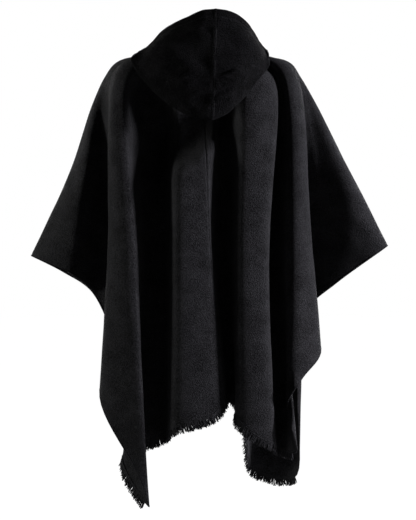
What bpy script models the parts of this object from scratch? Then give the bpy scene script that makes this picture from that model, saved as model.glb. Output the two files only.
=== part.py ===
"""Hooded poncho, filled out, with its hood lying down on the back.

Metres, +Z up. The back faces -Y, the front +Y, the wearer's left is -X.
The origin is on the shoulder line at the middle of the neck.
"""
import math

import bpy
import numpy as np
from mathutils import Vector
from mathutils.bvhtree import BVHTree

MM = 0.001

# Cloth
WALL = 0.0025                 # thickness of the woollen cloth
SEAM_GAP = 0.0003             # between two pieces sewn together
STEPS_ACROSS = 3              # faces between one fold line and the next
SPAN_STEPS = (2, 2, 6, 8)     # faces neck to shoulder, to top, to middle, to edge

# Neck hole: an ellipse that dips towards the front
NECK_HALF_WIDTH = 0.088
NECK_HALF_DEPTH = 0.080
NECK_CENTRE_Y = 0.012
NECK_SIDE_Z = 0.022
NECK_NAPE_Z = 0.018
NECK_FRONT_Z = -0.048
SHOULDER_AT = 0.72            # where a fold line turns down, from neck to top
BACK_LIFT = 0.08              # how far it stands up there, of that length
SIDE_LIFT = 0.09              # and how much more on top of the shoulder

# Fringe: each strand is four-sided and tapers from its root in the strip
STRIP_HEIGHT = 0.004
STRAND_LENGTH = 0.023
STRIP_GAP = 0.0008            # between the cloth's edge and the strip
STRANDS_PER_HEM = 58

# Hood
HOOD_STEPS_ACROSS = 2
HOOD_SEAT = 0.0031            # middle of the hood's wall over the panel's at the neck
HOOD_LIFT = 0.13
FOLD_RADIUS = 0.008
HEM_WIDTH = 0.022             # turned in along the hood's front edge
HEM_WALL = 0.0042
LIFT_ROUNDS = 2
LAYER_GAP = 0.0060            # between the middles of the hood's two layers
LAYER_REACH = 0.025
LIFT_REACH = 0.060
HOOD_SPAN_STEPS = (3, 3, 2, 6, 3, 2)
HOOD_CLEAR = (0.0031, 0.0058, 0.0062, 0.0110, 0.0220, 0.0250, 0.0270)  # at each point

# Fold lines of the cloth, each a row: its place round the neck in degrees from
# the nape, then the points it runs through in millimetres (x, y, z): at the top
# of the fold, halfway down, and at the cloth's edge.
FOLD_COLUMNS = ("name", "neck", "top", "middle", "edge")

BACK_LEFT = (
    ("centre seam", 0, (-7, -146, -131), (4, -178, -470), (40, -168, -862)),
    ("middle ridge right", 10, (-26, -152, -142), (-16, -187, -475), (16, -188, -894)),
    ("middle ridge left", 24, (-76, -146, -125), (-78, -191, -482), (-86, -192, -926)),
    ("left valley", 38, (-112, -70, -98), (-108, -84, -482), (-112, -88, -956)),
    ("corner tuck", 48, (-182, -72, -84), (-160, -98, -482), (-216, -128, -1006)),
    ("corner fold right", 56, (-205, -108, -64), (-184, -182, -482), (-147, -180, -1124)),
    ("corner fold front", 63, (-222, -102, -52), (-220, -178, -482), (-176, -184, -1040)),
    ("corner fold left", 70, (-238, -82, -49), (-251, -142, -482), (-272, -146, -851)),
    ("arm tuck", 77, (-250, -54, -52), (-226, -46, -482), (-240, -58, -710)),
    ("sleeve inside", 83, (-260, -33, -48), (-276, -12, -370), (-292, -10, -590)),
    ("arm back", 88, (-267, -14, -46), (-322, -56, -310), (-356, -58, -538)),
)
ARM_LEFT = ("arm line", 93, (-268, 8, -38), (-362, 6, -290), (-456, 6, -497))
FRONT_LEFT = (
    ("arm front", 98, (-267, 28, -46), (-330, 74, -300), (-378, 82, -540)),
    ("sleeve inside", 103, (-260, 48, -50), (-288, 54, -385), (-300, 50, -594)),
    ("arm tuck", 109, (-255, 66, -52), (-236, 92, -482), (-245, 96, -745)),
    ("corner fold left", 116, (-248, 88, -54), (-258, 150, -482), (-268, 158, -860)),
    ("corner fold front", 124, (-231, 100, -60), (-222, 172, -482), (-212, 184, -970)),
    ("corner fold right", 132, (-210, 104, -70), (-182, 158, -482), (-175, 172, -1040)),
    ("corner tuck", 140, (-196, 100, -82), (-166, 118, -482), (-185, 128, -965)),
    ("valley", 149, (-150, 104, -105), (-142, 104, -482), (-140, 108, -915)),
    ("chest ridge left", 160, (-80, 128, -112), (-88, 170, -482), (-85, 186, -875)),
    ("chest ridge right", 171, (-30, 128, -116), (-36, 178, -482), (-34, 192, -860)),
    ("centre seam", 180, (-4, 118, -116), (0, 158, -482), (2, 166, -852)),
)
FRONT_RIGHT = (
    ("chest ridge left", -171, (26, 128, -116), (35, 178, -482), (38, 192, -860)),
    ("chest ridge right", -160, (76, 128, -112), (80, 170, -482), (62, 186, -874)),
    ("valley", -149, (142, 104, -105), (130, 104, -482), (98, 108, -925)),
    ("corner tuck", -140, (180, 98, -80), (156, 124, -482), (118, 176, -1062)),
    ("corner fold left", -132, (196, 104, -68), (180, 160, -482), (160, 180, -1086)),
    ("corner fold front", -124, (214, 100, -58), (216, 174, -482), (206, 166, -1090)),
    ("corner fold right", -116, (230, 88, -52), (248, 150, -482), (236, 138, -1076)),
    ("arm tuck", -109, (236, 66, -50), (236, 92, -482), (240, 112, -790)),
    ("sleeve inside", -103, (240, 48, -48), (300, 54, -385), (304, 50, -574)),
    ("arm front", -98, (241, 28, -42), (338, 74, -300), (390, 82, -526)),
)
ARM_RIGHT = ("arm line", -93, (239, 6, -36), (366, 2, -279), (463, 2, -471))
BACK_RIGHT = (
    ("arm back", -88, (240, -16, -42), (356, -30, -288), (451, -30, -479)),
    ("sleeve inside", -83, (237, -28, -46), (302, -8, -385), (330, -8, -568)),
    ("arm tuck", -77, (232, -38, -52), (254, 8, -460), (262, 10, -632)),
    ("side fold side", -71, (230, -72, -52), (261, -138, -482), (284, -122, -742)),
    ("side fold front", -65, (214, -92, -50), (226, -166, -470), (232, -164, -808)),
    ("side fold left", -58, (196, -94, -56), (199, -158, -482), (198, -160, -874)),
    ("side tuck", -52, (190, -84, -62), (178, -108, -482), (221, -120, -990)),
    ("right valley", -46, (178, -78, -68), (152, -92, -482), (176, -94, -984)),
    ("right ridge edge", -39, (168, -106, -74), (149, -172, -482), (164, -178, -966)),
    ("right ridge crest", -31, (134, -126, -82), (118, -187, -482), (132, -194, -952)),
    ("right ridge left", -22, (84, -134, -101), (78, -186, -482), (74, -188, -908)),
    ("centre valley right", -16, (56, -92, -106), (48, -88, -482), (70, -98, -858)),
    ("centre valley left", -11, (34, -98, -112), (22, -96, -482), (50, -102, -852)),
    ("middle ridge edge", -6, (14, -140, -138), (10, -158, -470), (44, -146, -858)),
)
STATIONS = (*BACK_LEFT, ARM_LEFT, *FRONT_LEFT, *FRONT_RIGHT, ARM_RIGHT, *BACK_RIGHT)
FRONT_SEAM = STEPS_ACROSS * STATIONS.index(FRONT_LEFT[-1])

# Hood, from its centre seam at the back round to the throat, each row: its place
# round the neck in degrees, the share of the full distances at which it stands
# clear of the panels, then in millimetres the fold that it hangs in, the fullest
# point of its outer layer, and its front edge.
HOOD_COLUMNS = ("neck", "stand", "fold", "belly", "edge")

HOOD_LEFT = (
    (0, 1, (10, -182, -158), (14, -198, -40), (20, -112, 127)),
    (14, 1, (-42, -180, -148), (-32, -196, -36), (-14, -110, 124)),
    (27, 1, (-83, -174, -128), (-70, -189, -22), (-48, -100, 110)),
    (41, 1, (-121, -158, -98), (-108, -172, -2), (-80, -84, 101)),
    (53, 0.9, (-152, -134, -66), (-146, -134, 8), (-108, -60, 88)),
    (68, 0.5, (-191, -87, -12), (-179, -73, 4), (-126, -30, 70)),
    (78, 0.5, (-179, -60, 5), (-159, -49, 26), (-124, -10, 62)),
    (88, 0.8, (-178, -21, 17), (-168, -15, 31), (-117, 8, 54)),
    (105, 0.9, (-164, 44, 12), (-148, 48, 32), (-112, 44, 40)),
    (122, 1, (-152, 94, -20), (-134, 92, 8), (-102, 76, 14)),
    (140, 1, (-106, 128, -60), (-98, 126, -26), (-76, 100, -10)),
    (160, 1, (-54, 142, -86), (-50, 142, -50), (-40, 116, -30)),
    (180, 1, (-3, 146, -96), (-3, 146, -60), (-3, 122, -40)),
)
HOOD_RIGHT = (
    (0, 1, (10, -182, -158), (14, -198, -40), (20, -112, 127)),
    (-14, 1, (46, -180, -142), (48, -194, -34), (50, -110, 122)),
    (-27, 1, (70, -173, -120), (80, -186, -18), (76, -98, 113)),
    (-41, 1, (96, -158, -94), (104, -168, 0), (97, -82, 98)),
    (-53, 0.9, (119, -136, -62), (126, -136, 16), (110, -58, 84)),
    (-68, 0.8, (156, -90, -9), (144, -80, 13), (121, -28, 64)),
    (-78, 0.8, (152, -57, 3), (145, -50, 23), (119, -9, 60)),
    (-88, 0.8, (146, -25, 16), (133, -22, 35), (114, 8, 54)),
    (-105, 0.9, (143, 44, 12), (133, 48, 34), (106, 44, 42)),
    (-122, 1, (134, 92, -20), (120, 92, 8), (94, 76, 14)),
    (-140, 1, (98, 126, -60), (90, 124, -26), (72, 100, -10)),
    (-160, 1, (50, 142, -86), (47, 142, -50), (38, 116, -30)),
    (-180, 1, (3, 146, -96), (3, 146, -60), (3, 122, -40)),
)


def clear_scene():
    for item in list(bpy.data.objects):
        bpy.data.objects.remove(item, do_unlink=True)


def unit(vectors):
    return vectors / np.linalg.norm(vectors, axis=-1, keepdims=True)


def neck_point(degrees):
    """The neck hole's edge, from the nape at 0 round the left to the throat at 180."""
    turn = math.radians(degrees)
    back = math.cos(turn)
    rise = (NECK_NAPE_Z - NECK_FRONT_Z) / 2
    bend = (NECK_NAPE_Z + NECK_FRONT_Z) / 2 - NECK_SIDE_Z
    return np.array((
        -NECK_HALF_WIDTH * math.sin(turn),
        NECK_CENTRE_Y - NECK_HALF_DEPTH * back,
        NECK_SIDE_Z + rise * back + bend * back * back,
    ))


def away_from_body(chord):
    """Square to a line that leaves the neck, pointing up and out."""
    along = unit(chord)
    return unit(np.array((0.0, 0.0, 1.0)) - along[2] * along)


def over_shoulder(neck, top, lift):
    """The point where a line from the neck turns from the shoulder down the body."""
    chord = top - neck
    return neck + SHOULDER_AT * chord + lift * np.linalg.norm(chord) * away_from_body(chord)


def curve_through(points, steps, closed=False):
    """A smooth curve through the points, with a number of steps in each span."""
    points = np.asarray(points, dtype=float)
    count = len(points)
    if closed:
        padded = np.vstack((points[-1:], points, points[:2]))
        spans = count
    else:
        first = 2 * points[:1] - points[1:2]
        last = 2 * points[-1:] - points[-2:-1]
        padded = np.vstack((first, points, last))
        spans = count - 1
    if isinstance(steps, int):
        steps = (steps,) * spans
    result = []
    for span in range(spans):
        before, start, end, after = padded[span:span + 4]
        knots = [math.sqrt(max(np.linalg.norm(step), 1e-9))
                 for step in (start - before, end - start, after - end)]
        leave = knots[1] * ((start - before) / knots[0]
                            - (end - before) / (knots[0] + knots[1])
                            + (end - start) / knots[1])
        arrive = knots[1] * ((end - start) / knots[1]
                             - (after - start) / (knots[1] + knots[2])
                             + (after - end) / knots[2])
        for step in range(steps[span]):
            t = step / steps[span]
            result.append((2 * t**3 - 3 * t**2 + 1) * start
                          + (t**3 - 2 * t**2 + t) * leave
                          + (3 * t**2 - 2 * t**3) * end
                          + (t**3 - t**2) * arrive)
    if not closed:
        result.append(points[-1])
    return np.array(result)


def fold_line(row):
    """One fold line from the neck hole to the cloth's edge."""
    line = dict(zip(FOLD_COLUMNS, row))
    neck = neck_point(line["neck"])
    top, middle, edge = (np.array(line[key]) * MM for key in ("top", "middle", "edge"))
    lift = BACK_LIFT + SIDE_LIFT * math.sin(math.radians(line["neck"])) ** 2
    shoulder = over_shoulder(neck, top, lift)
    return curve_through((neck, shoulder, top, middle, edge), SPAN_STEPS)


def ring_normals(grid):
    """Outward normals of a grid [row, column] whose columns close into a ring."""
    across = np.roll(grid, -1, axis=1) - np.roll(grid, 1, axis=1)
    down = np.gradient(grid, axis=0)
    return unit(np.cross(across, down))


def strip_normals(grid):
    """Outward normals of an open grid [row, column]."""
    return unit(np.cross(np.gradient(grid, axis=1), np.gradient(grid, axis=0)))


def make_object(name, points, faces, material):
    mesh = bpy.data.meshes.new(name)
    mesh.from_pydata([tuple(point) for point in points], [], faces)
    mesh.validate()
    mesh.shade_smooth()
    mesh.set_sharp_from_angle(angle=math.radians(50))
    mesh.materials.append(material)
    item = bpy.data.objects.new(name, mesh)
    bpy.context.scene.collection.objects.link(item)
    return item


def grid_triangles(grid):
    """Two triangles for each cell of a grid, parted along its shorter diagonal."""
    rows, columns = grid.shape[:2]
    for row in range(rows - 1):
        for column in range(columns - 1):
            here, beside = row * columns + column, row * columns + column + 1
            below, across = here + columns, beside + columns
            falling = np.linalg.norm(grid[row, column] - grid[row + 1, column + 1])
            rising = np.linalg.norm(grid[row, column + 1] - grid[row + 1, column])
            if falling <= rising:
                yield here, beside, across
                yield here, across, below
            else:
                yield here, beside, below
                yield beside, across, below


def make_wall(name, grid, normals, thickness, material):
    """A closed wall of cloth round a grid [row, column] of its middle surface."""
    rows, columns = grid.shape[:2]
    half = normals * (thickness[..., None] / 2)
    points = np.vstack(((grid + half).reshape(-1, 3), (grid - half).reshape(-1, 3)))
    inner = rows * columns

    def at(row, column):
        return row * columns + column

    faces = []
    for triangle in grid_triangles(grid):
        faces.append(triangle)
        faces.append(tuple(inner + corner for corner in reversed(triangle)))
    border = [at(0, column) for column in range(columns)]
    border += [at(row, columns - 1) for row in range(1, rows)]
    border += [at(rows - 1, column) for column in range(columns - 2, -1, -1)]
    border += [at(row, 0) for row in range(rows - 2, 0, -1)]
    for here, there in zip(border, border[1:] + border[:1]):
        faces.append((there, here, here + inner, there + inner))
    return make_object(name, points, faces, material)


def pull_in(grid, gap):
    """Shorten a grid by a gap at its first and last column."""
    grid = grid.copy()
    grid[:, 0] += unit(grid[:, 1] - grid[:, 0]) * gap
    grid[:, -1] += unit(grid[:, -2] - grid[:, -1]) * gap
    return grid


def cloth_material(name, colour):
    material = bpy.data.materials.new(name)
    material.use_nodes = True
    shader = material.node_tree.nodes["Principled BSDF"]
    shader.inputs["Base Color"].default_value = (*colour, 1.0)
    shader.inputs["Roughness"].default_value = 0.9
    shader.inputs["Metallic"].default_value = 0.0
    return material


def station_column(table, name):
    """The grid column of a named fold line."""
    place = STATIONS.index(next(row for row in table if row[0] == name))
    return STEPS_ACROSS * place


def hem_directions(grid, normals):
    """Which way a strand points at each column: in the cloth, square to its edge."""
    ring = grid[-1, :-1]
    along = unit(np.roll(ring, -1, axis=0) - np.roll(ring, 1, axis=0))
    along = np.vstack((along, along[:1]))
    down = np.cross(normals[-1], along)[:-1]
    for _ in range(2):
        down = unit(down + np.roll(down, 1, axis=0) + np.roll(down, -1, axis=0))
    return np.vstack((down, down[:1]))


def make_fringe(name, hem, out, down, material):
    """A strip just under a hem, with strands that hang from it."""
    lengths = np.linalg.norm(np.diff(hem, axis=0), axis=1)
    pitch = lengths.sum() / STRANDS_PER_HEM
    places = [0.0]
    for span, length in enumerate(lengths):
        strands = max(1, round(length / pitch))
        places += [span + (strand + 1) / strands for strand in range(strands)]
    marks = np.arange(len(hem))

    def sample(values):
        return np.stack([np.interp(places, marks, values[:, axis]) for axis in range(3)], axis=1)

    hem, out, down = sample(hem), unit(sample(out)), unit(sample(down))
    half = out * WALL / 2
    high = hem + down * STRIP_GAP
    low = high + down * STRIP_HEIGHT
    points = np.stack((high + half, high - half, low - half, low + half), axis=1)
    points = list(points.reshape(-1, 3))
    faces = [(3, 2, 1, 0)]
    last = 4 * (len(hem) - 1)
    faces.append((last, last + 1, last + 2, last + 3))
    for cell in range(len(hem) - 1):
        here, there = 4 * cell, 4 * cell + 4
        faces.append((here, there, there + 3, here + 3))
        faces.append((here + 1, there + 1, there, here))
        faces.append((here + 2, there + 2, there + 1, here + 1))
        root = (here + 3, there + 3, there + 2, here + 2)
        reach = STRAND_LENGTH * (0.88 + 0.12 * math.sin(2.4 * cell))
        centre = sum(points[corner] for corner in root) / 4
        sway = unit(hem[cell + 1] - hem[cell]) * 0.0015 * math.sin(1.7 * cell)
        tip = len(points)
        points.append(centre + unit(down[cell] + down[cell + 1]) * reach + sway)
        for corner in range(4):
            faces.append((root[corner], root[(corner + 1) % 4], tip))
    return make_object(name, points, faces, material)


def make_panels(grid, normals, material):
    sides = {"panel_left": (0, FRONT_SEAM), "panel_right": (FRONT_SEAM, grid.shape[1] - 1)}
    for name, (start, end) in sides.items():
        part = slice(start, end + 1)
        make_wall(name, pull_in(grid[:, part], SEAM_GAP / 2), normals[:, part],
                  np.full(grid[:, part].shape[:2], WALL), material)


def make_fringes(grid, normals, material):
    hems = {
        "fringe_back_left": (0, station_column(BACK_LEFT, "corner fold right") - 1),
        "fringe_front_left": (station_column(FRONT_LEFT, "corner fold right") + 1, FRONT_SEAM),
        "fringe_front_right": (FRONT_SEAM, station_column(FRONT_RIGHT, "corner fold right") - 1),
        "fringe_back_right": (station_column(BACK_RIGHT, "side tuck") + 1, grid.shape[1] - 1),
    }
    corners = [place for pair in hems.values() for place in pair
               if place not in (0, FRONT_SEAM, grid.shape[1] - 1)]
    down = hem_directions(grid, normals)
    for name, (start, end) in hems.items():
        part = slice(start, end + 1)
        hem = pull_in(grid[:, part], SEAM_GAP / 2)[-1]
        towards = down[part].copy()
        if start in corners:
            towards[0] = towards[1]
        if end in corners:
            towards[-1] = towards[-2]
        make_fringe(name, hem, normals[-1, part], towards, material)


def surface_tree(grid):
    """A search tree of a grid [row, column], its faces pointing out."""
    points = [Vector(point) for point in grid.reshape(-1, 3)]
    return BVHTree.FromPolygons(points, list(grid_triangles(grid)))


def shortfall(point, tree, clear, reach):
    """What to add to a point so that it stands clear of a surface within reach."""
    spot, normal, _, apart = tree.find_nearest(Vector(point))
    normal = np.array(normal)
    height = (point - np.array(spot)) @ normal
    beyond_border = apart > clear and abs(height) < 0.7 * apart
    if height >= clear or apart > reach or beyond_border:
        return np.zeros(3)
    return normal * (clear - height)


def lift_off(grid, tree, clear, reach):
    """Move a grid's points and the middles of its cells clear of a surface."""
    shares = ((0, 0), (0.5, 0), (0, 0.5), (0.5, 0.5))
    lift = np.zeros_like(grid)
    for row in range(len(grid) - 1):
        for column in range(grid.shape[1] - 1):
            cell = grid[row:row + 2, column:column + 2]
            for down, across in shares:
                weights = np.outer((1 - down, down), (1 - across, across))
                point = np.einsum("ij,ijk->k", weights, cell)
                distance = np.sum(weights * clear[row:row + 2, column:column + 2])
                move = shortfall(point, tree, distance, reach)
                for i, j in np.argwhere(weights > 0):
                    if np.linalg.norm(lift[row + i, column + j]) < np.linalg.norm(move):
                        lift[row + i, column + j] = move
    grid += lift


def hood_rows(table):
    """The table's rows and those between them, as hood_line takes them."""
    rows = []
    for row in table:
        line = dict(zip(HOOD_COLUMNS, row))
        round_neck = math.radians(line["neck"]) * NECK_HALF_WIDTH
        rows.append((round_neck, 0.1 * line["stand"],
                     *(MM * value for key in HOOD_COLUMNS[2:] for value in line[key])))
    for values in curve_through(rows, HOOD_STEPS_ACROSS):
        yield (math.degrees(values[0] / NECK_HALF_WIDTH), 10 * values[1],
               values[2:5], values[5:8], values[8:])


def clearances(stand):
    """How far the hood's points stay from the panels, in full where it lies close."""
    full = np.array(HOOD_CLEAR)
    return np.maximum(stand * full, np.minimum(full, HOOD_CLEAR[1]))


def hood_line(neck, stand, fold, belly, edge, tree):
    """One line of the hood, from the neck seam down to its fold and up to its edge."""
    neck = neck_point(neck)
    clears = clearances(stand)
    fold = fold + shortfall(fold, tree, clears[3], LIFT_REACH)
    away = away_from_body(fold - neck)
    back = unit(neck - fold)
    neck = neck + away * HOOD_SEAT
    inner = fold + (1.5 * back - away) * FOLD_RADIUS
    hem = edge + unit(belly - edge) * HEM_WIDTH
    shoulder = over_shoulder(neck, inner, HOOD_LIFT)
    points = (neck, shoulder, inner, fold, belly, hem, edge)
    points = [point + shortfall(point, tree, clear, LIFT_REACH)
              for point, clear in zip(points, clears)]
    return curve_through(points, HOOD_SPAN_STEPS)


def make_hood(panels, material):
    tree = surface_tree(panels)
    turn = sum(HOOD_SPAN_STEPS[:3])
    down = np.cumsum((0, *HOOD_SPAN_STEPS))
    for name, table in (("hood_left", HOOD_LEFT), ("hood_right", HOOD_RIGHT)):
        rows = list(hood_rows(table))
        grid = np.stack([hood_line(*row, tree) for row in rows], axis=1)
        stand = np.array([row[1] for row in rows])
        if table is HOOD_RIGHT:
            grid, stand = grid[:, ::-1].copy(), stand[::-1]
        clear = np.stack([np.interp(np.arange(down[-1] + 1), down, clearances(share))
                          for share in stand], axis=1)
        for _ in range(LIFT_ROUNDS):
            lift_off(grid, tree, clear, LIFT_REACH)
            inner = surface_tree(grid[:turn])
            lift_off(grid[turn + 1:], inner, np.full(grid.shape[:2], LAYER_GAP), LAYER_REACH)
        normals = strip_normals(grid)
        for column in (0, -1):
            normals[:, column, 0] = 0.0
        normals = unit(normals)
        thickness = np.full(grid.shape[:2], WALL)
        thickness[-HOOD_SPAN_STEPS[-1]:] = HEM_WALL
        make_wall(name, pull_in(grid, SEAM_GAP / 2), normals, thickness, material)


def main():
    clear_scene()
    wool = cloth_material("black_wool", (0.014, 0.014, 0.015))
    yarn = cloth_material("fringe_yarn", (0.018, 0.018, 0.019))
    lines = np.array([fold_line(row) for row in STATIONS])
    grid = np.array([curve_through(lines[:, row], STEPS_ACROSS, closed=True)
                     for row in range(lines.shape[1])])
    normals = ring_normals(grid)
    grid = np.concatenate((grid, grid[:, :1]), axis=1)
    normals = np.concatenate((normals, normals[:, :1]), axis=1)
    make_panels(grid, normals, wool)
    make_fringes(grid, normals, yarn)
    make_hood(grid, wool)


main()
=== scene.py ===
import math

import bpy
import numpy as np
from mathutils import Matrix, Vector, noise
from mathutils.bvhtree import BVHTree


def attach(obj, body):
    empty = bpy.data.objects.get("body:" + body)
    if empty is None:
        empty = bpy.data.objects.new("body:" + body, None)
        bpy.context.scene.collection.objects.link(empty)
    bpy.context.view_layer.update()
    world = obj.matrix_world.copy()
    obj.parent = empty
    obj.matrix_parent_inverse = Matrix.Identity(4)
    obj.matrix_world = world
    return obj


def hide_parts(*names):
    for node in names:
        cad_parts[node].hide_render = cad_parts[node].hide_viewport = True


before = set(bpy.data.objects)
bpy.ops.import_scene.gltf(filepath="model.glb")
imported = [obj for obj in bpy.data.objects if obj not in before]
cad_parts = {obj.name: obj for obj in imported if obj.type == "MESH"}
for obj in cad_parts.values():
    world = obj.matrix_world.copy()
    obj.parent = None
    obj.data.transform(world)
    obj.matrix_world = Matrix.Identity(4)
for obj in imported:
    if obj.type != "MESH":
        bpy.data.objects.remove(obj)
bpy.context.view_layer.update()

print("frame loaded:", ", ".join(sorted(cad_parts)))

mm = 0.001


# Node tools, for materials, light and what repeats

def newTree(name, kind, inputs, outputs):
    # a node group with these sockets, and what its two ends give and take
    tree = bpy.data.node_groups.new(name, kind)
    for way, rows in (("INPUT", inputs), ("OUTPUT", outputs)):
        for label, socketKind, *value in rows:
            socket = tree.interface.new_socket(name=label, in_out=way,
                                               socket_type="NodeSocket" + socketKind)
            if value:
                socket.default_value = value[0]
    start, end = tree.nodes.new("NodeGroupInput"), tree.nodes.new("NodeGroupOutput")
    return tree, start.outputs, end.inputs


def addNode(tree, kind, given=(), output=None, **settings):
    # a node with its inputs given by name or in order, as values or links; its output comes back
    node = tree.nodes.new(kind)
    for key, value in settings.items():
        setattr(node, key, value)
    sockets = [socket for socket in node.inputs if socket.enabled]
    for key, value in given.items() if isinstance(given, dict) else enumerate(given):
        socket = next(item for place, item in enumerate(sockets) if key in (place, item.name))
        if isinstance(value, bpy.types.NodeSocket):
            tree.links.new(value, socket)
        else:
            socket.default_value = value
    if output:
        return node.outputs[output]
    return next((socket for socket in node.outputs if socket.enabled), None)


def addMath(tree, operation, *values, clamp=False):
    return addNode(tree, "ShaderNodeMath", values, operation=operation, use_clamp=clamp)


def addObject(name, data):
    item = bpy.data.objects.new(name, data)
    bpy.context.scene.collection.objects.link(item)
    return item


# Camera, light and floor

studio = {
    "aim": (0.0, 0.0, -0.5075),         # m, the middle of the picture
    "distance": 5.17,
    "sensorTall": 24.0,                 # mm
    "tallSeen": 1.3,                    # m of height seen at 5 m
    "seenAt": 5.0,
    "floorAt": -1.80,
    "floorRadius": 40.0,
    "floorCorners": 96,
    "floorColour": (0.36, 0.36, 0.36, 1),
    "floorRoughness": 0.9,
    "floorGlow": 1.00,                  # to the camera the floor is as white as the backdrop
    "backdrop": 1.0,                    # how bright the white behind looks
    "fill": 0.006,                      # how much of it falls on the cloth
}
lampColumns = ("name", "place", "wide", "tall", "power", "colour")
lamps = (
    ("keyRight", (3.4, -0.78, 0.30), 0.5, 1.2, 300, (0.92, 0.90, 1.0)),
    ("fillLeft", (-3.4, -0.34, 0.20), 0.5, 1.2, 90, (1.0, 1.0, 1.0)),
    ("frontRight", (2.2, 3.2, 0.5), 1.2, 1.6, 90, (1.0, 1.0, 1.0)),
    ("frontLeft", (-2.4, 3.0, 0.2), 1.2, 1.6, 50, (1.0, 1.0, 1.0)),
)


def makeCamera():
    data = bpy.data.cameras.new("camera")
    data.sensor_fit = "VERTICAL"
    data.sensor_height = studio["sensorTall"]
    data.lens = studio["sensorTall"] * studio["seenAt"] / studio["tallSeen"]
    camera = addObject("camera", data)
    camera.location = Vector(studio["aim"]) - Vector((0, studio["distance"], 0))
    camera.rotation_euler = (math.radians(90), 0, 0)
    bpy.context.scene.camera = camera


def makeLamps():
    aim = Vector(studio["aim"])
    for row in lamps:
        lamp = dict(zip(lampColumns, row))
        data = bpy.data.lights.new(lamp["name"], "AREA")
        data.shape = "RECTANGLE"
        data.size, data.size_y, data.energy = lamp["wide"], lamp["tall"], lamp["power"]
        data.color = lamp["colour"]
        item = addObject(lamp["name"], data)
        item.location = lamp["place"]
        item.rotation_euler = (aim - item.location).to_track_quat("-Z", "Y").to_euler()


def makeWorld():
    world = bpy.data.worlds.new("whiteRoom")
    bpy.context.scene.world = world
    world.use_nodes = True
    tree = world.node_tree
    tree.nodes.clear()
    felt, seen = [addNode(tree, "ShaderNodeBackground",
                          {"Color": (1, 1, 1, 1), "Strength": studio[key]})
                  for key in ("fill", "backdrop")]
    toCamera = addNode(tree, "ShaderNodeLightPath", output="Is Camera Ray")
    mixed = addNode(tree, "ShaderNodeMixShader", (toCamera, felt, seen))
    addNode(tree, "ShaderNodeOutputWorld", {"Surface": mixed})


def makeFloor():
    material = bpy.data.materials.new("paleFloor")
    material.use_nodes = True
    tree = material.node_tree
    shader = tree.nodes["Principled BSDF"].inputs
    shader["Base Color"].default_value = studio["floorColour"]
    shader["Roughness"].default_value = studio["floorRoughness"]
    shader["Emission Color"].default_value = (1, 1, 1, 1)
    toCamera = addNode(tree, "ShaderNodeLightPath", output="Is Camera Ray")
    tree.links.new(addMath(tree, "MULTIPLY", toCamera, studio["floorGlow"]),
                   shader["Emission Strength"])
    around = studio["floorCorners"]
    points = [(studio["floorRadius"] * math.cos(math.tau * step / around),
               studio["floorRadius"] * math.sin(math.tau * step / around),
               studio["floorAt"]) for step in range(around)]
    mesh = bpy.data.meshes.new("floor")
    mesh.from_pydata(points, [], [tuple(range(around))])
    mesh.materials.append(material)
    addObject("floor", mesh)


bpy.context.scene.view_settings.view_transform = "Standard"
makeCamera()
makeLamps()
makeWorld()
makeFloor()
print("camera, lamps and floor in place")


# Curves and surfaces

def unit(vectors):
    return vectors / np.linalg.norm(vectors, axis=-1, keepdims=True)


def curveThrough(points, steps, closed=False):
    # smooth curve through the points; each point may be a whole row of points
    tiny = 1e-9                         # the shortest span, m
    points = np.asarray(points, dtype=float)
    count = len(points)
    if closed:
        padded = np.concatenate((points[-1:], points, points[:2]))
        spans = count
    else:
        first, last = 2 * points[:1] - points[1:2], 2 * points[-1:] - points[-2:-1]
        padded = np.concatenate((first, points, last))
        spans = count - 1
    if isinstance(steps, int):
        steps = (steps,) * spans
    result = []
    for span in range(spans):
        before, start, end, after = padded[span:span + 4]
        knots = [np.sqrt(np.maximum(np.linalg.norm(step, axis=-1, keepdims=True), tiny))
                 for step in (start - before, end - start, after - end)]
        leave = knots[1] * ((start - before) / knots[0]
                            - (end - before) / (knots[0] + knots[1])
                            + (end - start) / knots[1])
        arrive = knots[1] * ((end - start) / knots[1]
                             - (after - start) / (knots[1] + knots[2])
                             + (after - end) / knots[2])
        for step in range(steps[span]):
            t = step / steps[span]
            result.append((2 * t**3 - 3 * t**2 + 1) * start
                          + (t**3 - 2 * t**2 + t) * leave
                          + (3 * t**2 - 2 * t**3) * end
                          + (t**3 - t**2) * arrive)
    if not closed:
        result.append(points[-1])
    return np.array(result)


def insertNear(grid, distances, axis, atEnd):
    # extra lines of points close to one border of a grid, at these distances from it,
    # where the next line is near enough each a little short of it
    firstShare, shareSpan = 0.15, 0.80
    grid = np.moveaxis(grid, axis, 0)
    if atEnd:
        grid = grid[::-1]
    border, beside = grid[0], grid[1]
    span = np.linalg.norm(beside[..., :3] - border[..., :3], axis=-1, keepdims=True)
    extra = []
    for rank, far in enumerate(distances, 1):
        most = firstShare + shareSpan * rank / len(distances)
        extra.append(border + (beside - border) * np.minimum(far / span, most))
    grid = np.concatenate((grid[:1], np.array(extra), grid[1:]))
    if atEnd:
        grid = grid[::-1]
    return np.moveaxis(grid, 0, axis)


def gridNormals(grid):
    return unit(np.cross(np.gradient(grid, axis=1), np.gradient(grid, axis=0)))


def surfaceTree(grid):
    rows, columns = grid.shape[:2]
    triangles = []
    for row in range(rows - 1):
        for column in range(columns - 1):
            here = row * columns + column
            below = here + columns
            falling = np.linalg.norm(grid[row, column] - grid[row + 1, column + 1])
            rising = np.linalg.norm(grid[row, column + 1] - grid[row + 1, column])
            if falling <= rising:
                triangles += [(here, here + 1, below + 1), (here, below + 1, below)]
            else:
                triangles += [(here, here + 1, below), (here + 1, below + 1, below)]
    return BVHTree.FromPolygons([Vector(point) for point in grid.reshape(-1, 3)], triangles)


def smoothStep(values):
    values = np.clip(values, 0, 1)
    return values * values * (3 - 2 * values)


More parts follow.
